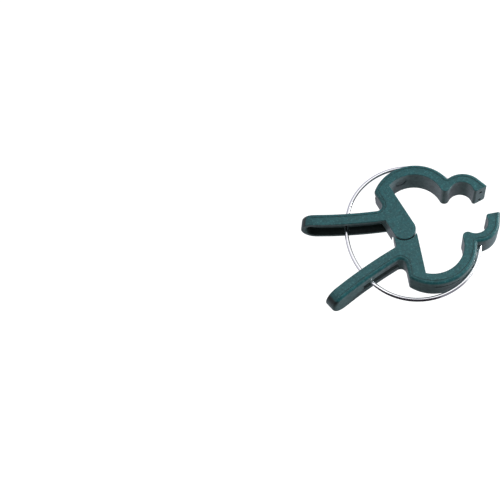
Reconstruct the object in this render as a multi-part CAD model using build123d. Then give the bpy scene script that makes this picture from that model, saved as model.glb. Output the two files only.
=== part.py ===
from build123d import *
import math
import os

# An orchid clip: two moulded halves that lap at a pivot, and a bent wire ring that closes them.
# A half is drawn closed and as the upper one: the pivot at the origin, the jaw tip towards +X,
# the outside towards +Y, and the back face at z = 0. All lengths are in mm, all angles in degrees.

# Both halves
thickness = 9.0
rest_half_angle = 9.5
bead_radius = 1.0
crease_gap = 0.06
crease_width = 0.3
crease_depth = 0.2
edge_radius = 0.2
overrun = 1.0

# Pivot: round knuckles that lap, and a boss with a lip in a blind socket
knuckle_radius = 3.45
lap_side_gap = 0.5
lap_face_gap = 0.2
boss_radius = 1.6
boss_clearance = 0.05
boss_end_gap = 0.2
socket_floor = 1.2
lip_height = 0.15
lip_length = 0.6
lip_clearance = 0.1

# Jaw: a big lobe for the stem, a small lobe for the stake, and a round tooth between them
big_centre_x = 7.08
big_centre_y = 6.90
big_inner_radius = 9.2
big_wall = 3.51
big_outer_shift = 0.25
lobe_line_angle = -19.956
small_inner_radius = 3.7
small_wall = 2.95
small_outer_shift = 0.4
tooth_radius = 1.5
tooth_rise = 2.865
notch_radius = 0.3

# Jaw tip: a flat face that meets the other half's
tip_overhang = 1.07
tip_gap = 0.06
tip_corner_radius = 0.4
tip_inner_radius = 0.75
tip_dimple_radius = 0.5
tip_dimple_depth = 0.9
tip_dimple_inset = 2.1
tip_dimple_height_shares = (0.18, 0.70)

# Arm: the straight outer wall from the big lobe down to the handle
arm_side = 1.6
arm_corner_extra = 0.1
root_radius = 1.8

# Handle: a slightly curved bar with a channel on its inner side and a half-round end
handle_rise = 7.45
handle_angle = 157.5
handle_turn = 10.0
handle_length = 25.8
handle_depth = 3.9
channel_web = 1.3
channel_rim = 1.2
channel_end_wall = 1.2
slot_width = 2.8
slot_root_gap = 0.9
slot_past_wire = 2.8
slot_corner_radius = 0.5

# Wire ring: a back arc and two side arcs, with ends that sit in the jaws
wire_radius = 0.6
ring_centre_behind = 3.707
ring_centre_inside = 3.988
ring_sink = 0.12
ring_back_angle = 33.3
ring_slot_gap = 0.1
wire_hole_clearance = 0.1
wire_hole_floor = 1.0
wire_end_gap = 0.3
seat_clearance = 0.2
seat_angles = (28.0, 75.0)
ring_points = 240
ring_apart_share = 0.3

# Marks that moulding leaves
lobe_mark_radius = 1.9
lobe_mark_depth = 0.12
lobe_mark_angle = 85.0
lobe_mark_height_share = 0.6
channel_mark_radius = 1.7
channel_mark_depth = 0.12
channel_mark_place = 19.0
gate_mark_radius = 1.7
gate_mark_depth = 1.15
gate_mark_height_share = 0.62
slit_width = 0.45
slit_depth = 0.6
slit_pit_radius = 0.4
slit_pit_depth = 0.9
slit_height_share = 0.72
slit_angles = (66.5, 97.5)


def bearing(centre, point):
    """The angle of a point about a centre."""
    return math.degrees(math.atan2(point.Y - centre.Y, point.X - centre.X))


def on_circle(centre, radius, angle):
    """The point of a circle at an angle."""
    turn = math.radians(angle)
    return centre + Vector(math.cos(turn), math.sin(turn)) * radius


def towards(start, goal):
    """The direction from one point to another."""
    return (goal - start).normalized()


def crossing(centre_a, radius_a, centre_b, radius_b, side):
    """Where two circles cross, to the left (1) or right (-1) of the way from centre a to centre b."""
    ahead = towards(centre_a, centre_b)
    reach = (centre_b - centre_a).length
    along = (reach**2 + radius_a**2 - radius_b**2) / (2 * reach)
    across = math.sqrt(radius_a**2 - along**2)
    return centre_a + ahead * along + Vector(-ahead.Y, ahead.X) * across * side


def turned(point, angle):
    """A point turned about the pivot."""
    return point.rotate(Axis.Z, angle)


def arc(centre, radius, start, end, way):
    """An arc between two of its points, counterclockwise (1) or clockwise (-1)."""
    first = bearing(centre, start)
    sweep = (bearing(centre, end) - first) * way % 360
    return CenterArc(centre, radius, first, sweep * way)


# Circles of the jaw
pivot = Vector(0, 0)
big_centre = Vector(big_centre_x, big_centre_y)
big_outer_centre = big_centre + Vector(big_outer_shift, 0)
big_outer_radius = big_inner_radius + big_wall
small_outer_radius = small_inner_radius + small_wall
big_tooth_reach = math.sqrt((big_inner_radius + tooth_radius)**2 - tooth_rise**2)
small_tooth_reach = math.sqrt((small_inner_radius + tooth_radius)**2 - tooth_rise**2)
small_centre = on_circle(big_centre, big_tooth_reach + small_tooth_reach, lobe_line_angle)
small_outer_centre = small_centre + Vector(small_outer_shift, 0)
tooth_foot = on_circle(big_centre, big_tooth_reach, lobe_line_angle)
tooth_centre = on_circle(tooth_foot, tooth_rise, lobe_line_angle + 90)

# Corners of the jaw's outline
tip_level = tip_gap / 2
tip_drop = small_centre.Y - tip_level
tip_inner = Vector(small_centre.X + math.sqrt(small_inner_radius**2 - tip_drop**2), tip_level)
tip_outer_reach = math.sqrt(small_outer_radius**2 - tip_drop**2)
tip_corner = Vector(small_outer_centre.X + tip_outer_reach + tip_overhang, tip_level)
tip_corner_reach = (tip_corner - small_outer_centre).length
tip_tangent_turn = math.degrees(math.acos(small_outer_radius / tip_corner_reach))
tip_side_angle = bearing(small_outer_centre, tip_corner) + tip_tangent_turn
tooth_big_end = big_centre + towards(big_centre, tooth_centre) * big_inner_radius
tooth_small_end = small_centre + towards(small_centre, tooth_centre) * small_inner_radius
plate_reach = big_centre.X - knuckle_radius
plate_top = Vector(knuckle_radius, big_centre.Y + math.sqrt(big_inner_radius**2 - plate_reach**2))

# Circles of the handle, which share a centre beyond its outer side
handle_radius = handle_length / math.radians(handle_turn)
handle_outer_radius = handle_radius - handle_depth / 2
handle_inner_radius = handle_radius + handle_depth / 2
channel_floor_radius = handle_outer_radius + channel_web
handle_root = Vector(-knuckle_radius, handle_rise)
handle_root_angle = handle_angle + 90
handle_end_angle = handle_root_angle - handle_turn
handle_centre = on_circle(handle_root, handle_radius, handle_root_angle - 180)
spare_end_angle = handle_end_angle - math.degrees(overrun / handle_radius)


def handle_point(radius, place):
    """The point of a handle circle at a distance along the handle from its root."""
    return on_circle(handle_centre, radius, handle_root_angle - math.degrees(place / handle_radius))


def handle_plane(radius, place):
    """A plane on the handle: X along it to its end, Y along the pivot axis, Z out of its outer side."""
    origin = handle_point(radius, place)
    outwards = towards(origin, handle_centre)
    middle = Vector(origin.X, origin.Y, thickness / 2)
    return Plane(origin=middle, x_dir=Vector(-outwards.Y, outwards.X), z_dir=outwards)


def handle_meets(radius, x):
    """Where a handle circle meets a wall at x."""
    reach = handle_centre.X - x
    return Vector(x, handle_centre.Y - math.sqrt(radius**2 - reach**2))


# The wire ring in the resting pose, which is the same above and below the X axis
lobe_rest = turned(big_outer_centre, rest_half_angle)
ring_offset = Vector(ring_centre_behind, ring_centre_inside)
side_centre = lobe_rest - ring_offset
side_radius = ring_offset.length + big_outer_radius + wire_radius - ring_sink
back_extra = side_centre.Y / math.sin(math.radians(ring_back_angle))
back_radius = side_radius + back_extra
back_centre = Vector(side_centre.X + back_extra * math.cos(math.radians(ring_back_angle)), 0)
ring_joint = on_circle(back_centre, back_radius, 180 - ring_back_angle)
ring_height = (thickness + slot_width) / 2 - wire_radius - ring_slot_gap

# Where the ring enters the jaw, and where it crosses the handle
hole_depth = small_wall - wire_hole_floor
small_rest = turned(small_outer_centre, rest_half_angle)
entry_rest = crossing(side_centre, side_radius, small_rest, small_outer_radius, 1)
entry_angle = bearing(side_centre, entry_rest)
entry_way = on_circle(Vector(0, 0), 1, entry_angle - 90)
ring_end = entry_rest + entry_way * (hole_depth - wire_end_gap)
web_radius = (handle_outer_radius + channel_floor_radius) / 2
back_centre_closed = turned(back_centre, -rest_half_angle)
wire_crossing = crossing(handle_centre, web_radius, back_centre_closed, back_radius, -1)
wire_turn = handle_root_angle - (bearing(handle_centre, wire_crossing) + 360)
wire_place = math.radians(wire_turn) * handle_radius


def flipped(point):
    """A point of the upper side on the lower side."""
    return Vector(point.X, -point.Y)


def outer_path(inset, spare):
    """The outer path from a spare length before the jaw tip to past the handle's end, moved inwards."""
    small_radius = small_outer_radius - inset
    big_radius = big_outer_radius - inset
    handle_path_radius = handle_outer_radius + inset
    arm_x = inset - arm_side
    side_end = on_circle(small_outer_centre, small_radius, tip_side_angle)
    slope = on_circle(Vector(0, 0), 1, tip_side_angle + 90)
    side_start = side_end - slope * ((side_end.Y - tip_level) / slope.Y + spare)
    notch = crossing(big_outer_centre, big_radius, small_outer_centre, small_radius, 1)
    arm_height = math.sqrt(big_radius**2 - (big_outer_centre.X - arm_x)**2)
    arm_corner = Vector(arm_x, big_outer_centre.Y + arm_height)
    handle_start = handle_meets(handle_path_radius, arm_x)
    path_end = on_circle(handle_centre, handle_path_radius, spare_end_angle)
    edges = [
        Line(side_start, side_end),
        arc(small_outer_centre, small_radius, side_end, notch, 1),
        arc(big_outer_centre, big_radius, notch, arm_corner, 1),
        Line(arm_corner, handle_start),
        arc(handle_centre, handle_path_radius, handle_start, path_end, -1),
    ]
    return edges, notch, arm_corner, handle_start


def rounded(face, roundings):
    """A face with some of its corners rounded."""
    for corner, radius in roundings:
        face = fillet(face.vertices().sort_by_distance(corner)[0], radius)
    return face


def half_outline():
    """The outline of a half as one face, its outer edges, and its inner edges but for the tip face."""
    outside, notch, arm_corner, handle_start = outer_path(0, 0)
    handle_under = handle_meets(handle_inner_radius, -knuckle_radius)
    outer_end = on_circle(handle_centre, handle_outer_radius, spare_end_angle)
    inner_end = on_circle(handle_centre, handle_inner_radius, spare_end_angle)
    inside = [
        Line(outer_end, inner_end),
        arc(handle_centre, handle_inner_radius, inner_end, handle_under, 1),
        Line(handle_under, Vector(-knuckle_radius, 0)),
        CenterArc(pivot, knuckle_radius, 180, 180),
        Line(Vector(knuckle_radius, 0), plate_top),
        arc(big_centre, big_inner_radius, plate_top, tooth_big_end, -1),
        arc(tooth_centre, tooth_radius, tooth_big_end, tooth_small_end, 1),
        arc(small_centre, small_inner_radius, tooth_small_end, tip_inner, -1),
    ]
    face = make_face(outside + inside + [Line(tip_inner, tip_corner)])
    roundings = [
        (notch, notch_radius),
        (arm_corner, bead_radius + arm_corner_extra),
        (handle_start, root_radius),
        (tip_inner, tip_inner_radius),
    ]
    return rounded(face, roundings), outside, inside


def round_end(inset, radius):
    """A cutter for what lies outside a half-round end of the handle."""
    middle = Pos(-inset - radius, 0)
    width = 2 * (radius + overrun)
    length = radius + inset + 2 * overrun
    sheet = middle * Rectangle(length, width, align=(Align.MIN, Align.CENTER))
    sheet -= middle * Circle(radius)
    end = handle_plane(handle_radius, handle_length)
    return end * extrude(sheet, handle_depth, both=True)


def edges_along(body, path_edges, reach):
    """The body's edges that run within reach of a path as seen along the pivot axis."""
    path = Curve() + path_edges
    return [
        edge
        for edge in body.edges().filter_by(Axis.Z, reverse=True)
        if path.distance_to(Vector((edge @ 0.5).X, (edge @ 0.5).Y)) < reach
    ]


def crease():
    """A cutter for the fine groove beside the bead on both faces."""
    near = bead_radius + crease_gap
    far = near + crease_width
    outer, outer_notch, _, outer_root = outer_path(near, overrun)
    inner, inner_notch, _, inner_root = outer_path(far, overrun)
    ends = [Line(outer[0] @ 0, inner[0] @ 0), Line(outer[-1] @ 1, inner[-1] @ 1)]
    roundings = [
        (outer_notch, notch_radius + near),
        (inner_notch, notch_radius + far),
        (outer_root, root_radius + near),
        (inner_root, root_radius + far),
    ]
    sheet = rounded(make_face(outer + inner + ends), roundings)
    block = extrude(sheet, crease_depth + overrun)
    return [Pos(0, 0, -overrun) * block, Pos(0, 0, thickness - crease_depth) * block]


def tip_rounding():
    """A cutter for the outer corner of the jaw tip."""
    slope = on_circle(Vector(0, 0), 1, tip_side_angle + 90)
    half_turn = math.radians(180 - bearing(Vector(0, 0), slope)) / 2
    set_back = tip_corner_radius / math.tan(half_turn)
    on_face = tip_corner - Vector(set_back, 0)
    on_side = tip_corner + slope * set_back
    centre = on_face + Vector(0, tip_corner_radius)
    beyond = centre + (tip_corner - centre) * 2
    sheet = make_face(Polyline(on_face, beyond, on_side, centre, close=True))
    sheet -= Pos(centre) * Circle(tip_corner_radius)
    return Pos(0, 0, -overrun) * extrude(sheet, thickness + 2 * overrun)


def channel():
    """A cutter for the channel on the handle's inner side."""
    floor_start = handle_meets(channel_floor_radius, -knuckle_radius)
    mouth_radius = handle_inner_radius + overrun
    mouth_start = handle_meets(mouth_radius, -knuckle_radius)
    floor_end = on_circle(handle_centre, channel_floor_radius, spare_end_angle)
    mouth_end = on_circle(handle_centre, mouth_radius, spare_end_angle)
    sheet = make_face([
        arc(handle_centre, channel_floor_radius, floor_start, floor_end, -1),
        Line(floor_end, mouth_end),
        arc(handle_centre, mouth_radius, mouth_end, mouth_start, 1),
        Line(mouth_start, floor_start),
    ])
    width = thickness - 2 * channel_rim
    block = Pos(0, 0, channel_rim) * extrude(sheet, width)
    return block - round_end(channel_end_wall, width / 2)


def slot():
    """A cutter for the slot that the wire moves in."""
    start = slot_root_gap
    end = wire_place + slot_past_wire
    place = handle_plane(web_radius, (start + end) / 2)
    sheet = RectangleRounded(end - start, slot_width, slot_corner_radius)
    return place * extrude(sheet, channel_web, both=True)


def wire_hole():
    """A cutter for the hole that a wire end sits in."""
    entry = turned(entry_rest, -rest_half_angle)
    place = Plane(
        origin=Vector(entry.X, entry.Y, ring_height),
        z_dir=turned(entry_way, -rest_half_angle),
    )
    radius = wire_radius + wire_hole_clearance
    length = hole_depth + overrun
    lowest = (Align.CENTER, Align.CENTER, Align.MIN)
    return place * Pos(0, 0, -overrun) * Cylinder(radius, length, align=lowest)


def wire_seat():
    """A cutter for the groove round the big lobe that the wire lies in."""
    centre = turned(side_centre, -rest_half_angle)
    low, high = seat_angles
    path = CenterArc(centre, side_radius, low - rest_half_angle, high - low)
    path = Pos(0, 0, ring_height) * path
    section = Plane(origin=path @ 0, z_dir=path % 0) * Circle(wire_radius + seat_clearance)
    return sweep(section, path=path)


def moulding_marks():
    """Cutters for the marks of the ejector pins and the dimples in the tip face."""
    top = on_circle(big_centre, big_inner_radius + lobe_mark_depth, lobe_mark_angle)
    lobe_plane = Plane(
        origin=Vector(top.X, top.Y, thickness * lobe_mark_height_share),
        z_dir=towards(top, big_centre),
    )
    lowest = (Align.CENTER, Align.CENTER, Align.MIN)
    highest = (Align.CENTER, Align.CENTER, Align.MAX)
    marks = [lobe_plane * Cylinder(lobe_mark_radius, big_wall, align=lowest)]
    floor_plane = handle_plane(channel_floor_radius - channel_mark_depth, channel_mark_place)
    marks.append(floor_plane * Cylinder(channel_mark_radius, handle_depth, align=highest))
    for share in tip_dimple_height_shares:
        origin = Vector(tip_corner.X - tip_dimple_inset, tip_level, thickness * share)
        dimple = Cylinder(tip_dimple_radius, 2 * tip_dimple_depth)
        marks.append(Plane(origin=origin, z_dir=Vector(0, 1)) * dimple)
    return marks


def gate_mark():
    """A cutter for the round dimple on the arm's corner."""
    height = thickness * gate_mark_height_share
    arm_corner = outer_path(0, 0)[2]
    middle = Vector(big_outer_centre.X, big_outer_centre.Y, height)
    corner = Vector(arm_corner.X, arm_corner.Y, height)
    outwards = towards(middle, corner)
    return Pos(corner + outwards * (gate_mark_radius - gate_mark_depth)) * Sphere(gate_mark_radius)


def slit():
    """A cutter for the shallow slit round the outside of the big lobe, with a pit at each end."""
    outer = big_outer_radius + overrun
    inner = big_outer_radius - slit_depth
    low, high = slit_angles
    sheet = make_face([
        CenterArc(big_outer_centre, outer, low, high - low),
        Line(on_circle(big_outer_centre, outer, high), on_circle(big_outer_centre, inner, high)),
        CenterArc(big_outer_centre, inner, high, low - high),
        Line(on_circle(big_outer_centre, inner, low), on_circle(big_outer_centre, outer, low)),
    ])
    height = thickness * slit_height_share
    cutters = [Pos(0, 0, height - slit_width / 2) * extrude(sheet, slit_width)]
    lowest = (Align.CENTER, Align.CENTER, Align.MIN)
    for angle in slit_angles:
        bottom = on_circle(big_outer_centre, big_outer_radius - slit_pit_depth, angle)
        place = Plane(origin=Vector(bottom.X, bottom.Y, height), z_dir=towards(big_outer_centre, bottom))
        cutters.append(place * Cylinder(slit_pit_radius, slit_pit_depth + overrun, align=lowest))
    return cutters


def lap_cutter(low, high):
    """A cutter for the layer in which the other half's knuckle turns."""
    lowest = (Align.CENTER, Align.CENTER, Align.MIN)
    return Pos(0, 0, low) * Cylinder(knuckle_radius + lap_side_gap, high - low, align=lowest)


def blank_half():
    """A half without its pivot layer or the marks that only one half has."""
    face, outside, inside = half_outline()
    body = extrude(face, thickness)
    body -= round_end(0, thickness / 2)
    body = fillet(edges_along(body, outside, bead_radius), bead_radius)
    body = fillet(edges_along(body, inside, edge_radius), edge_radius)
    body -= crease()
    body -= [tip_rounding(), channel(), slot(), wire_hole(), wire_seat()]
    body -= moulding_marks()
    return body


def pivot_post(radius, low, high):
    """A round post or bore on the pivot axis between two heights."""
    lowest = (Align.CENTER, Align.CENTER, Align.MIN)
    return Pos(0, 0, low) * Cylinder(radius, high - low, align=lowest)


def upper_half():
    """The half whose knuckle is at the front and carries the boss."""
    knuckle_back = (thickness + lap_face_gap) / 2
    boss_end = socket_floor + boss_end_gap
    body = blank_half()
    body -= lap_cutter(-overrun, knuckle_back)
    body += pivot_post(boss_radius, boss_end, knuckle_back + overrun)
    body += pivot_post(boss_radius + lip_height, boss_end, boss_end + lip_length)
    return body - gate_mark()


def lower_half():
    """The half whose knuckle is at the back and holds the socket, mirrored below the X axis."""
    knuckle_front = (thickness - lap_face_gap) / 2
    lip_top = socket_floor + boss_end_gap + lip_length
    groove_radius = boss_radius + lip_height + lip_clearance
    body = blank_half()
    body -= lap_cutter(knuckle_front, thickness + overrun)
    body -= pivot_post(boss_radius + boss_clearance, socket_floor, knuckle_front + overrun)
    body -= pivot_post(groove_radius, socket_floor, lip_top + lip_clearance)
    return mirror(body - slit(), about=Plane.XZ)


def ring_path():
    """The wire's centre line in the resting pose."""
    path = Curve() + [
        Line(ring_end, entry_rest),
        arc(side_centre, side_radius, entry_rest, ring_joint, 1),
        arc(back_centre, back_radius, ring_joint, flipped(ring_joint), 1),
        arc(flipped(side_centre), side_radius, flipped(ring_joint), flipped(entry_rest), 1),
        Line(flipped(entry_rest), flipped(ring_end)),
    ]
    return Pos(0, 0, ring_height) * Wire(path.edges())


def least_gap(path):
    """The least gap of the wire to itself between points well apart along it."""
    points = [path @ (step / ring_points) for step in range(ring_points + 1)]
    apart = round(ring_points * ring_apart_share)
    distances = [
        (points[far] - points[near]).length
        for near in range(len(points))
        for far in range(near + apart, len(points))
    ]
    return min(distances) - 2 * wire_radius


def spring_ring():
    """The wire ring."""
    path = ring_path()
    print("Least gap of the wire to itself, mm:", round(least_gap(path), 2))
    section = Plane(origin=path @ 0, z_dir=path % 0) * Circle(wire_radius)
    return sweep(section, path=path)


nodes = {
    "upper_jaw": Rot(0, 0, rest_half_angle) * upper_half(),
    "lower_jaw": Rot(0, 0, -rest_half_angle) * lower_half(),
    "spring_ring": spring_ring(),
}

os.makedirs("parts", exist_ok=True)
for name, shape in nodes.items():
    export_step(shape, f"parts/{name}.step")
    print(name, "solids", len(shape.solids()), "volume", round(shape.volume, 1))
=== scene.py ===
import math

import bmesh
import bpy
from bpy.props import FloatProperty, FloatVectorProperty, IntProperty, PointerProperty, StringProperty
from bpy.types import Operator, Panel, PropertyGroup
from mathutils import Euler, Matrix, Vector


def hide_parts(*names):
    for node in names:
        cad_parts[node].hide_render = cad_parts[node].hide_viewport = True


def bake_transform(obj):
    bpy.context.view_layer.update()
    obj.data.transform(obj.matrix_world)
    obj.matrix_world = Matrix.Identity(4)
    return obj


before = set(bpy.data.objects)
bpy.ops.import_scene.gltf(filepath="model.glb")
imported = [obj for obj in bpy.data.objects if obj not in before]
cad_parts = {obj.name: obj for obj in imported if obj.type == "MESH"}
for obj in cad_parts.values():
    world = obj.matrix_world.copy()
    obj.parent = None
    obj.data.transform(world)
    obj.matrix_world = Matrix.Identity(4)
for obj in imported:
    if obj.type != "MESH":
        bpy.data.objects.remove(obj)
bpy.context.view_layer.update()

bl_info = {
    "name": "Orchid Clip",
    "version": (1, 0, 0),
    "blender": (4, 5, 0),
    "location": "View3D > Sidebar > Orchid Clip",
    "description": "Finishes for an orchid clip's moulded jaws, its bent wire ring, and its studio",
    "category": "Object",
}

MM = 0.001
JAWS = ("upper_jaw", "lower_jaw")
WHITE = "#FFFFFF"

# The span that most of a noise texture's values keep to
NOISE_SPAN = {"From Min": 0.3, "From Max": 0.7}

# Plastic: a surface is a wall or a face by how far its normal points along the pivot axis; walls get a
# painted reflection
WALL_LIMIT = 0.15
FACE_LIMIT = 0.75

# Plastic: from the middle plane it is 1.4 mm to the slot's sides, 3.3 to the channel's, 4.5 to a face;
# nearer the middle, painted shade
SLOT_SIDES_END = 1.5 * MM
CHANNEL_SIDES_START = 1.7 * MM
CHANNEL_SIDES_END = 3.4 * MM
BROAD_FACES_START = 3.8 * MM
SLOT_SHADE_SHARE = 0.65

# Plastic: mottling, flecks, relief and gloss
MOTTLE = {"Detail": 4.0, "Roughness": 0.7}
CLOUD_SIZE = 1.1 * MM
CLOUD_TONES = {"To Min": 0.66, "To Max": 1.3}
FLECK_SPAN = {"From Min": 0.53, "From Max": 0.78}
FLECK_SHARE = 0.85
DRAW_LINE_GAP = 0.5 * MM
DRAW_LINE_STRETCH = 0.04
MOULD_RELIEF = {"Strength": 0.35, "Distance": 0.03 * MM}
MOULD_SMOOTHER_BY = 0.06
MOULD_ROUGHER_BY = 0.08

# Steel: the lines that the die leaves
DIE_LINE_GAP = 0.12 * MM
DIE_LINE_STRETCH = 0.004
DIE_LINE_TONES = {"To Min": 0.94, "To Max": 1.02}
DIE_LINE_RELIEF = {"Strength": 0.08, "Distance": 0.01 * MM}
DIE_SMOOTHER_BY = 0.05
DIE_ROUGHER_BY = 0.08

# Camera and floor
SENSOR_WIDTH = 36
NEAREST_SEEN = 1 * MM
FARTHEST_SEEN = 10
FLOOR_HALF_WIDTH = 3.0
PAPER_COLOUR = "#A0A0A0"
PAPER_GLOW = 0.8

# Reflector cards: the steps of a bend, then points of the profiles as radius and height in mm
CARD_STEPS = 24
CARD_RADIUS = 160
CARD_FOOT = [(0, -75), (CARD_RADIUS, -75)]
DARK_TOP = (CARD_RADIUS, 60)
LEFT_TOP = (CARD_RADIUS, 40)
RIGHT_TOP = (CARD_RADIUS, -70)
BACK_TOP = [(CARD_RADIUS, 50), (95, 190)]
PALE_TOP = (75, 205)
ZENITH_EDGE = (30, 228)
ZENITH = (0, 228)
SHOULDER = [(CARD_RADIUS, 115), (90, 200), ZENITH_EDGE]

# Reflector cards: the even tone of each finish
CARD_COLOURS = {
    "Dark card": "#211F25",
    "Dark flag": "#38343B",
    "Grey card": "#B0ADB8",
    "Middle card": "#8C8A93",
    "Back card": "#C9C8D4",
    "Pale card": "#F4F3FA",
}


def linear(code):
    """A colour written as sRGB hex, as linear red, green, blue and full alpha."""
    channels = []
    for start in (1, 3, 5):
        value = int(code[start:start + 2], 16) / 255
        channels.append(value / 12.92 if value <= 0.04045 else ((value + 0.055) / 1.055) ** 2.4)
    return (*channels, 1.0)


def add_node(tree, kind, inputs=None, **settings):
    """A node with its settings, and its inputs set to values or linked to other nodes' outputs."""
    node = tree.nodes.new(kind)
    for name, value in settings.items():
        setattr(node, name, value)
    for name, value in (inputs or {}).items():
        if isinstance(value, bpy.types.NodeSocket):
            tree.links.new(value, node.inputs[name])
        else:
            node.inputs[name].default_value = value
    return node


def new_material(name):
    """An empty material with its node tree and its output node."""
    material = bpy.data.materials.new(name)
    material.use_nodes = True
    tree = material.node_tree
    tree.nodes.clear()
    output = tree.nodes.new("ShaderNodeOutputMaterial")
    return material, tree, output


def new_piece(name, mesh_build, material):
    """A new smooth object in the scene from a finished bmesh."""
    mesh = bpy.data.meshes.new(name)
    mesh_build.to_mesh(mesh)
    mesh_build.free()
    for polygon in mesh.polygons:
        polygon.use_smooth = True
    mesh.materials.append(material)
    piece = bpy.data.objects.new(name, mesh)
    bpy.context.scene.collection.objects.link(piece)
    return piece


class JawSettings(PropertyGroup):
    """Colours and grain of the moulded jaws."""

    face_colour: StringProperty(
        name="Face colour", description="sRGB hex colour of the broad front and back faces",
        default="#144C50"
    )
    # Painted reflection: the walls' grey tone stands in for the grey surroundings that they mirror
    wall_reflection_colour: StringProperty(
        name="Wall reflection colour", description="sRGB hex colour of the side walls, with painted reflection", default="#5A6D6F"
    )
    # Painted shade: this dark tone stands in for the shade deep in the channel, the slot and the slit
    recess_shade_colour: StringProperty(
        name="Recess shade colour", description="sRGB hex colour deep in the channel, the slot and the slit",
        default="#1C2625"
    )
    fleck_colour: StringProperty(
        name="Fleck colour", description="sRGB hex colour of the pale pigment flecks", default="#4E8486"
    )
    middle_height: FloatProperty(
        name="Middle height", description="Height of the jaws' middle plane",
        default=4.5 * MM, unit="LENGTH", precision=6
    )
    grain_size: FloatProperty(
        name="Grain size", description="Width of the spark-eroded grain",
        default=0.25 * MM, unit="LENGTH", precision=6
    )
    fleck_size: FloatProperty(
        name="Fleck size", description="Spacing of the pigment flecks",
        default=0.6 * MM, unit="LENGTH", precision=6
    )
    roughness: FloatProperty(
        name="Roughness", description="Roughness of the satin skin",
        default=0.37, min=0.0, max=1.0, subtype="FACTOR"
    )


class RingSettings(PropertyGroup):
    """Sizes and finish of the wire ring, which lies in a plane across the pivot axis."""

    wire_radius: FloatProperty(
        name="Wire radius", description="Half the wire's thickness",
        default=0.597 * MM, unit="LENGTH", precision=6
    )
    height: FloatProperty(
        name="Height", description="Height of the wire's middle above the back face",
        default=5.2 * MM, unit="LENGTH", precision=6
    )
    side_centre: FloatVectorProperty(
        name="Side centre", description="Centre of the upper side arc", size=2,
        default=(2.3836 * MM, 4.0272 * MM), unit="LENGTH", precision=6
    )
    side_radius: FloatProperty(
        name="Side radius", description="Radius of both side arcs",
        default=18.6348 * MM, unit="LENGTH", precision=6
    )
    back_half_angle: FloatProperty(
        name="Back half angle", description="Half the turn of the back arc",
        default=math.radians(33.3), subtype="ANGLE"
    )
    entry_angle: FloatProperty(
        name="Entry angle", description="Bearing from the side centre at which the wire enters the jaw",
        default=math.radians(24.956), subtype="ANGLE"
    )
    end_length: FloatProperty(
        name="End length", description="Straight length of wire in the jaw's hole",
        default=1.65 * MM, unit="LENGTH", precision=6
    )
    facets: IntProperty(
        name="Facets", description="Faces round the wire", default=32, min=8
    )
    step_length: FloatProperty(
        name="Step length", description="Length of one face along the wire",
        default=0.45 * MM, unit="LENGTH", precision=6
    )
    colour: StringProperty(
        name="Colour", description="sRGB hex colour of the bright steel", default="#E6E7EA"
    )
    roughness: FloatProperty(
        name="Roughness", description="Roughness of the drawn surface",
        default=0.1, min=0.0, max=1.0, subtype="FACTOR"
    )


class StudioSettings(PropertyGroup):
    """Camera, floor height and light."""

    camera_place: FloatVectorProperty(
        name="Camera place", description="Where the camera stands", size=3,
        default=(-30.268 * MM, -88.054 * MM, 210.785 * MM), unit="LENGTH", precision=6
    )
    camera_turn: FloatVectorProperty(
        name="Camera turn", description="The camera's XYZ turn", size=3,
        default=(math.radians(23.6136), math.radians(11.8886), math.radians(-15.4849)), subtype="EULER"
    )
    lens: FloatProperty(
        name="Lens", description="Focal length in millimetres on a 36 mm sensor", default=51.185
    )
    floor_drop: FloatProperty(
        name="Floor drop", description="How far the floor lies below the back face",
        default=80 * MM, unit="LENGTH", precision=4
    )
    key_power: FloatProperty(
        name="Key power", description="Power of the soft lamp above, in watts", default=0.9
    )
    left_power: FloatProperty(
        name="Left power", description="Power of the lamp to the left, in watts", default=0.11
    )
    right_power: FloatProperty(
        name="Right power", description="Power of the lamp to the right, in watts", default=1.7
    )
    sky_front: FloatProperty(
        name="Sky in front", description="Strength of the soft light from the near side", default=0.22
    )
    sky_back: FloatProperty(
        name="Sky behind", description="Strength of the soft light from the far side", default=0.7
    )


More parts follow.
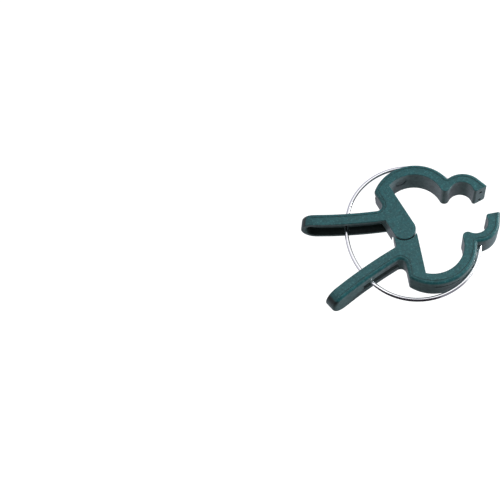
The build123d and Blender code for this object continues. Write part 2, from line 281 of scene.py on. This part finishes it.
def drawn_plastic(settings):
    """Polypropylene from a spark-eroded mould.

    Its broad faces are teal with a fine satin grain and pale pigment flecks. Its side walls are lined
    along the draw, and their greyer tone is a painted reflection of grey surroundings. Surfaces that
    face along the axis deep in the channel, the slot and the slit are painted darker, as painted shade.
    The grain, the flecks and the lines are drawn coarser than real ones, so that they show.
    """
    material, tree, output = new_material("Moulded polypropylene")
    place = add_node(tree, "ShaderNodeTexCoord")
    facing = add_node(tree, "ShaderNodeSeparateXYZ", {"Vector": place.outputs["Normal"]})
    flatness = add_node(tree, "ShaderNodeMath", {0: facing.outputs["Z"]}, operation="ABSOLUTE")
    face_share = add_node(tree, "ShaderNodeMapRange", {
        "Value": flatness.outputs[0], "From Min": WALL_LIMIT, "From Max": FACE_LIMIT,
    }, interpolation_type="SMOOTHSTEP")
    height = add_node(tree, "ShaderNodeSeparateXYZ", {"Vector": place.outputs["Object"]})
    above_middle = add_node(tree, "ShaderNodeMath", {
        0: height.outputs["Z"], 1: settings.middle_height,
    }, operation="SUBTRACT")
    off_middle = add_node(tree, "ShaderNodeMath", {0: above_middle.outputs[0]}, operation="ABSOLUTE")
    outer_share = add_node(tree, "ShaderNodeMapRange", {
        "Value": off_middle.outputs[0], "From Min": CHANNEL_SIDES_END, "From Max": BROAD_FACES_START,
    })
    recess_shade_share = add_node(tree, "ShaderNodeMapRange", {
        "Value": off_middle.outputs[0], "From Min": SLOT_SIDES_END, "From Max": CHANNEL_SIDES_START,
        "To Min": SLOT_SHADE_SHARE,
    })

    # A Mix node's inputs 6 and 7 and its output 2 are colours, its inputs 2 and 3 are numbers
    # Painted shade: surfaces facing along the axis in the slot and the channel are mixed towards the
    # dark shade tone
    recess = add_node(tree, "ShaderNodeMix", {
        0: recess_shade_share.outputs[0], 6: linear(settings.wall_reflection_colour), 7: linear(settings.recess_shade_colour),
    }, data_type="RGBA")
    flat = add_node(tree, "ShaderNodeMix", {
        0: outer_share.outputs[0], 6: recess.outputs[2], 7: linear(settings.face_colour),
    }, data_type="RGBA")
    # Painted reflection: the walls take the grey wall tone in place of the face colour
    body = add_node(tree, "ShaderNodeMix", {
        0: face_share.outputs[0], 6: linear(settings.wall_reflection_colour), 7: flat.outputs[2],
    }, data_type="RGBA")
    cloud = add_node(tree, "ShaderNodeTexNoise", {
        "Vector": place.outputs["Object"], "Scale": 1 / CLOUD_SIZE, **MOTTLE,
    })
    cloud_tone = add_node(tree, "ShaderNodeMapRange", {
        "Value": cloud.outputs[0], **NOISE_SPAN, **CLOUD_TONES,
    })
    toned = add_node(tree, "ShaderNodeHueSaturation", {
        "Color": body.outputs[2], "Value": cloud_tone.outputs[0],
    })
    fleck = add_node(tree, "ShaderNodeTexNoise", {
        "Vector": place.outputs["Object"], "Scale": 1 / settings.fleck_size, **MOTTLE,
    })
    fleck_share = add_node(tree, "ShaderNodeMapRange", {
        "Value": fleck.outputs[0], **FLECK_SPAN, "To Max": FLECK_SHARE,
    })
    broad_share = add_node(tree, "ShaderNodeMath", {
        0: face_share.outputs[0], 1: outer_share.outputs[0],
    }, operation="MULTIPLY")
    fleck_on_face = add_node(tree, "ShaderNodeMath", {
        0: fleck_share.outputs[0], 1: broad_share.outputs[0],
    }, operation="MULTIPLY")
    skin = add_node(tree, "ShaderNodeMix", {
        0: fleck_on_face.outputs[0], 6: toned.outputs[0], 7: linear(settings.fleck_colour),
    }, data_type="RGBA")
    grain = add_node(tree, "ShaderNodeTexNoise", {
        "Vector": place.outputs["Object"], "Scale": 1 / settings.grain_size, "Detail": 2.0,
    })
    stretch = add_node(tree, "ShaderNodeMapping", {
        "Vector": place.outputs["Object"], "Scale": (1.0, 1.0, DRAW_LINE_STRETCH),
    })
    draw_lines = add_node(tree, "ShaderNodeTexNoise", {
        "Vector": stretch.outputs[0], "Scale": 1 / DRAW_LINE_GAP, "Detail": 2.0,
    })
    relief = add_node(tree, "ShaderNodeMix", {
        0: face_share.outputs[0], 2: draw_lines.outputs[0], 3: grain.outputs[0],
    }, data_type="FLOAT")
    bump = add_node(tree, "ShaderNodeBump", {
        "Height": relief.outputs[0], **MOULD_RELIEF,
    })
    gloss = add_node(tree, "ShaderNodeMapRange", {
        "Value": grain.outputs[0], **NOISE_SPAN,
        "To Min": settings.roughness - MOULD_SMOOTHER_BY,
        "To Max": settings.roughness + MOULD_ROUGHER_BY,
    })
    shader = add_node(tree, "ShaderNodeBsdfPrincipled", {
        "Base Color": skin.outputs[2], "Roughness": gloss.outputs[0], "Normal": bump.outputs[0],
        "IOR": 1.49, "Specular IOR Level": 0.35,
    })
    tree.links.new(shader.outputs[0], output.inputs["Surface"])
    return material


def drawn_steel(settings):
    """Bright spring-steel wire, drawn through a die.

    It is nearly a mirror, with fine lines along its length, drawn coarser than real ones.
    """
    material, tree, output = new_material("Drawn spring steel")
    way = add_node(tree, "ShaderNodeAttribute", attribute_name="along_wire")
    stretch = add_node(tree, "ShaderNodeMapping", {
        "Vector": way.outputs["Vector"], "Scale": (1.0, 1.0, DIE_LINE_STRETCH),
    })
    lines = add_node(tree, "ShaderNodeTexNoise", {
        "Vector": stretch.outputs[0], "Scale": 1 / DIE_LINE_GAP, "Detail": 3.0,
    })
    tone = add_node(tree, "ShaderNodeMapRange", {
        "Value": lines.outputs[0], **NOISE_SPAN, **DIE_LINE_TONES,
    })
    skin = add_node(tree, "ShaderNodeHueSaturation", {
        "Color": linear(settings.colour), "Value": tone.outputs[0],
    })
    gloss = add_node(tree, "ShaderNodeMapRange", {
        "Value": lines.outputs[0], **NOISE_SPAN,
        "To Min": settings.roughness - DIE_SMOOTHER_BY,
        "To Max": settings.roughness + DIE_ROUGHER_BY,
    })
    bump = add_node(tree, "ShaderNodeBump", {
        "Height": lines.outputs[0], **DIE_LINE_RELIEF,
    })
    shader = add_node(tree, "ShaderNodeBsdfPrincipled", {
        "Base Color": skin.outputs[0], "Metallic": 1.0, "Roughness": gloss.outputs[0],
        "Normal": bump.outputs[0],
    })
    tree.links.new(shader.outputs[0], output.inputs["Surface"])
    return material


class FinishJaws(Operator):
    """Give both moulded jaws their plastic"""

    bl_idname = "orchid_clip.finish_jaws"
    bl_label = "Finish the Jaws"

    def execute(self, context):
        material = drawn_plastic(context.scene.clip_jaws)
        for name in JAWS:
            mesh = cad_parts[name].data
            mesh.materials.clear()
            mesh.materials.append(material)
        return {"FINISHED"}


def of_kind(items, kind):
    """The items that are of one kind, such as edges."""
    return [item for item in items if isinstance(item, kind)]


def back_arc(settings):
    """The back arc's centre on the X axis, its radius, and the bearing at which a side arc joins."""
    side_x, side_y = settings.side_centre
    centre_x = side_x + side_y / math.tan(settings.back_half_angle)
    radius = settings.side_radius + side_y / math.sin(settings.back_half_angle)
    return centre_x, radius, math.pi - settings.back_half_angle


def wire_tube(settings):
    """The ring as a closed tube: straight end, side arc, back arc, side arc, straight end."""
    back_x, back_radius, joint_angle = back_arc(settings)
    side = Vector((*settings.side_centre, settings.height))
    other_side = Vector((side.x, -side.y, side.z))
    back = Vector((back_x, 0, side.z))
    up = Vector((0, 0, 1))
    outward = Vector((math.cos(settings.entry_angle), math.sin(settings.entry_angle), 0))
    out_of_hole = Vector((-outward.y, outward.x, 0))
    into_hole = Vector((outward.y, outward.x, 0))
    entry = side + outward * settings.side_radius
    place = Matrix((outward, up, -out_of_hole)).transposed().to_4x4()
    place.translation = entry - out_of_hole * settings.end_length

    tube = bmesh.new()
    bmesh.ops.create_circle(
        tube, cap_ends=True, radius=settings.wire_radius, segments=settings.facets, matrix=place
    )
    run = bmesh.ops.extrude_edge_only(tube, edges=tube.edges[:])["geom"]
    verts = of_kind(run, bmesh.types.BMVert)
    bmesh.ops.translate(tube, verts=verts, vec=out_of_hole * settings.end_length)
    edges = [edge for edge in of_kind(run, bmesh.types.BMEdge) if not edge.is_manifold]
    side_turn = joint_angle - settings.entry_angle
    arcs = [
        (side, settings.side_radius, side_turn),
        (back, back_radius, 2 * settings.back_half_angle),
        (other_side, settings.side_radius, side_turn),
    ]
    for centre, reach, turn in arcs:
        steps = max(1, round(reach * turn / settings.step_length))
        last = bmesh.ops.spin(
            tube, geom=edges, cent=centre, axis=up, angle=turn, steps=steps, use_duplicate=False
        )["geom_last"]
        edges = of_kind(last, bmesh.types.BMEdge)
    run = bmesh.ops.extrude_edge_only(tube, edges=edges)["geom"]
    verts = of_kind(run, bmesh.types.BMVert)
    bmesh.ops.translate(tube, verts=verts, vec=into_hole * settings.end_length)

    merge_gap = settings.wire_radius / 1000
    bmesh.ops.holes_fill(tube, edges=[edge for edge in tube.edges if edge.is_boundary])
    bmesh.ops.remove_doubles(tube, verts=tube.verts[:], dist=merge_gap)
    bmesh.ops.recalc_face_normals(tube, faces=tube.faces[:])
    return tube


def wire_lines(mesh, settings):
    """Store each point's place across and along the wire, which the die's lines follow."""
    side_x, side_y = settings.side_centre
    back_x, back_radius, joint_angle = back_arc(settings)
    side_length = settings.side_radius * joint_angle
    half_length = side_length + back_radius * settings.back_half_angle
    way = mesh.attributes.new("along_wire", "FLOAT_VECTOR", "POINT")
    for vertex, item in zip(mesh.vertices, way.data):
        x, y, z = vertex.co
        half = math.copysign(1, y)
        back_angle = math.atan2(abs(y), x - back_x)
        if back_angle > joint_angle:
            across = math.hypot(x - back_x, y) - back_radius
            length = side_length + back_radius * (back_angle - joint_angle)
        else:
            side_angle = math.atan2(abs(y) - side_y, x - side_x)
            across = math.hypot(x - side_x, abs(y) - side_y) - settings.side_radius
            length = settings.side_radius * side_angle
        item.vector = (across, z - settings.height, half * (length - half_length))


class BendRing(Operator):
    """Bend the wire ring that closes the jaws"""

    bl_idname = "orchid_clip.bend_ring"
    bl_label = "Bend the Ring"

    def execute(self, context):
        settings = context.scene.clip_ring
        ring = new_piece("wire_ring", wire_tube(settings), drawn_steel(settings))
        wire_lines(ring.data, settings)
        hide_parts("spring_ring")
        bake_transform(ring)
        return {"FINISHED"}


def seen_share(tree):
    """1 for the rays that look, also by way of gloss or glass, and 0 for those that gather light."""
    light_path = add_node(tree, "ShaderNodeLightPath")
    seen = add_node(tree, "ShaderNodeMath", {
        0: light_path.outputs["Is Camera Ray"], 1: light_path.outputs["Is Glossy Ray"],
    }, operation="ADD")
    seen_through = add_node(tree, "ShaderNodeMath", {
        0: seen.outputs[0], 1: light_path.outputs["Is Transmission Ray"],
    }, operation="ADD", use_clamp=True)
    return seen_through.outputs[0]


def white_floor():
    """Matt paper, with a glow that only looking rays see, so that it is white and keeps its shadow."""
    material, tree, output = new_material("White paper")
    glow_strength = add_node(tree, "ShaderNodeMath", {
        0: seen_share(tree), 1: PAPER_GLOW,
    }, operation="MULTIPLY")
    glow = add_node(tree, "ShaderNodeEmission", {
        "Color": linear(WHITE), "Strength": glow_strength.outputs[0],
    })
    paper = add_node(tree, "ShaderNodeBsdfDiffuse", {"Color": linear(PAPER_COLOUR)})
    both = add_node(tree, "ShaderNodeAddShader", {0: glow.outputs[0], 1: paper.outputs[0]})
    tree.links.new(both.outputs[0], output.inputs["Surface"])
    return material


def card_material(name, colour):
    """Card of one even tone, which the steel mirrors as its dark and pale lines."""
    material, tree, output = new_material(name)
    card = add_node(tree, "ShaderNodeEmission", {"Color": linear(colour), "Strength": 1.0})
    tree.links.new(card.outputs[0], output.inputs["Surface"])
    return material


def bent_card(name, profile, start, turn, material):
    """A card bent round the object, seen only in reflections, from its profile's radii and heights."""
    card = bmesh.new()
    outward = Vector((math.cos(start), math.sin(start), 0))
    verts = [
        card.verts.new(outward * radius * MM + Vector((0, 0, height * MM)))
        for radius, height in profile
    ]
    edges = [card.edges.new(pair) for pair in zip(verts, verts[1:])]
    bmesh.ops.spin(
        card, geom=verts + edges, cent=(0, 0, 0), axis=(0, 0, 1), angle=turn, steps=CARD_STEPS,
        use_duplicate=False
    )
    bmesh.ops.remove_doubles(card, verts=card.verts[:], dist=MM)
    piece = new_piece(name, card, material)
    piece.visible_camera = False
    piece.visible_diffuse = False
    piece.visible_shadow = False
    piece.visible_transmission = False


def stand_cards():
    """Stand the reflector cards round the object."""
    finishes = {name: card_material(name, colour) for name, colour in CARD_COLOURS.items()}

    # Name, finish, profile, then the bearing of its near edge and its turn in degrees
    cards = [
        ("dark_card", "Dark card", [*CARD_FOOT, DARK_TOP], -165, 85),
        ("dark_flag", "Dark flag", [DARK_TOP, *SHOULDER], -165, 85),
        ("middle_card", "Middle card", [*CARD_FOOT, *SHOULDER], -80, 35),
        ("zenith_card", "Middle card", [ZENITH_EDGE, ZENITH], 0, 360),
        ("right_card", "Grey card", [*CARD_FOOT, RIGHT_TOP], -45, 105),
        ("back_card", "Back card", [*CARD_FOOT, *BACK_TOP], 60, 65),
        ("left_card", "Grey card", [*CARD_FOOT, LEFT_TOP], 125, 70),
        ("pale_card", "Pale card", [LEFT_TOP, PALE_TOP], 125, 70),
    ]
    for name, finish, profile, start, turn in cards:
        bent_card(name, profile, math.radians(start), math.radians(turn), finishes[finish])


def set_camera(scene, settings):
    """Set the camera that the photograph was matched with."""
    camera_data = bpy.data.cameras.new("camera")
    camera_data.lens = settings.lens
    camera_data.sensor_width = SENSOR_WIDTH
    camera_data.clip_start = NEAREST_SEEN
    camera_data.clip_end = FARTHEST_SEEN
    camera = bpy.data.objects.new("camera", camera_data)
    camera.location = settings.camera_place
    camera.rotation_euler = Euler(settings.camera_turn)
    scene.collection.objects.link(camera)
    scene.camera = camera


def lay_floor(settings):
    """Lay the white paper floor."""
    floor = bmesh.new()
    bmesh.ops.create_grid(floor, x_segments=2, y_segments=2, size=FLOOR_HALF_WIDTH)
    bmesh.ops.translate(floor, verts=floor.verts[:], vec=(0, 0, -settings.floor_drop))
    new_piece("floor", floor, white_floor())


def hang_lamps(scene, settings):
    """Hang the soft lamps, each aimed at the pivot."""
    # Name, tint, place and size in metres, and power
    lamps = [
        ("key", WHITE, (-0.08, 0.1, 0.46), (0.58, 0.58), settings.key_power),
        ("left", WHITE, (-0.34, -0.23, 0.14), (0.2, 0.2), settings.left_power),
        ("right", "#EFFBFD", (0.38, -0.06, 0.14), (0.28, 0.05), settings.right_power),
    ]
    for name, tint, place, size, power in lamps:
        lamp_data = bpy.data.lights.new(name, "AREA")
        lamp_data.color = linear(tint)[:3]
        lamp_data.shape = "RECTANGLE"
        lamp_data.size, lamp_data.size_y = size
        lamp_data.energy = power
        lamp = bpy.data.objects.new(name, lamp_data)
        lamp.location = place
        lamp.rotation_euler = (-lamp.location).to_track_quat("-Z", "Y").to_euler()
        scene.collection.objects.link(lamp)


def soft_world(scene, settings):
    """A world that looks white and lights the object softly, more from behind than from in front."""
    world = bpy.data.worlds.new("Studio")
    world.use_nodes = True
    scene.world = world
    tree = world.node_tree
    tree.nodes.clear()
    output = tree.nodes.new("ShaderNodeOutputWorld")
    way = add_node(tree, "ShaderNodeTexCoord")
    parts = add_node(tree, "ShaderNodeSeparateXYZ", {"Vector": way.outputs["Generated"]})
    soft_light = add_node(tree, "ShaderNodeMapRange", {
        "Value": parts.outputs["Y"], "From Min": -1.0, "From Max": 1.0,
        "To Min": settings.sky_front, "To Max": settings.sky_back,
    })
    strength = add_node(tree, "ShaderNodeMapRange", {
        "Value": seen_share(tree), "To Min": soft_light.outputs[0], "To Max": 1.0,
    })
    sky = add_node(tree, "ShaderNodeBackground", {
        "Color": linear(WHITE), "Strength": strength.outputs[0],
    })
    tree.links.new(sky.outputs[0], output.inputs["Surface"])


class SetStudio(Operator):
    """Set the camera, the soft light, the white floor and the cards"""

    bl_idname = "orchid_clip.set_studio"
    bl_label = "Set the Studio"

    def execute(self, context):
        settings = context.scene.clip_studio
        scene = context.scene
        scene.view_settings.view_transform = "Standard"
        set_camera(scene, settings)
        lay_floor(settings)
        stand_cards()
        hang_lamps(scene, settings)
        soft_world(scene, settings)
        return {"FINISHED"}


class ClipPanel(Panel):
    """The clip's pieces and studio in the sidebar"""

    bl_idname = "VIEW3D_PT_orchid_clip"
    bl_label = "Orchid Clip"
    bl_space_type = "VIEW_3D"
    bl_region_type = "UI"
    bl_category = "Orchid Clip"

    def draw(self, context):
        layout = self.layout
        groups = [
            (context.scene.clip_jaws, FinishJaws),
            (context.scene.clip_ring, BendRing),
            (context.scene.clip_studio, SetStudio),
        ]
        for settings, operator in groups:
            box = layout.box()
            for name in settings.__annotations__:
                box.prop(settings, name)
            box.operator(operator.bl_idname)


SETTINGS = {"clip_jaws": JawSettings, "clip_ring": RingSettings, "clip_studio": StudioSettings}
CLASSES = (JawSettings, RingSettings, StudioSettings, FinishJaws, BendRing, SetStudio, ClipPanel)


def register():
    """Register the classes and hang the settings on the scene."""
    for item in CLASSES:
        bpy.utils.register_class(item)
    for name, group in SETTINGS.items():
        setattr(bpy.types.Scene, name, PointerProperty(type=group))


def unregister():
    """Take the settings off the scene and unregister the classes."""
    for name in SETTINGS:
        delattr(bpy.types.Scene, name)
    for item in reversed(CLASSES):
        bpy.utils.unregister_class(item)


def main():
    """Build the clip's looks in order."""
    register()
    bpy.ops.orchid_clip.finish_jaws()
    bpy.ops.orchid_clip.bend_ring()
    bpy.ops.orchid_clip.set_studio()


if __name__ == "__main__":
    main()
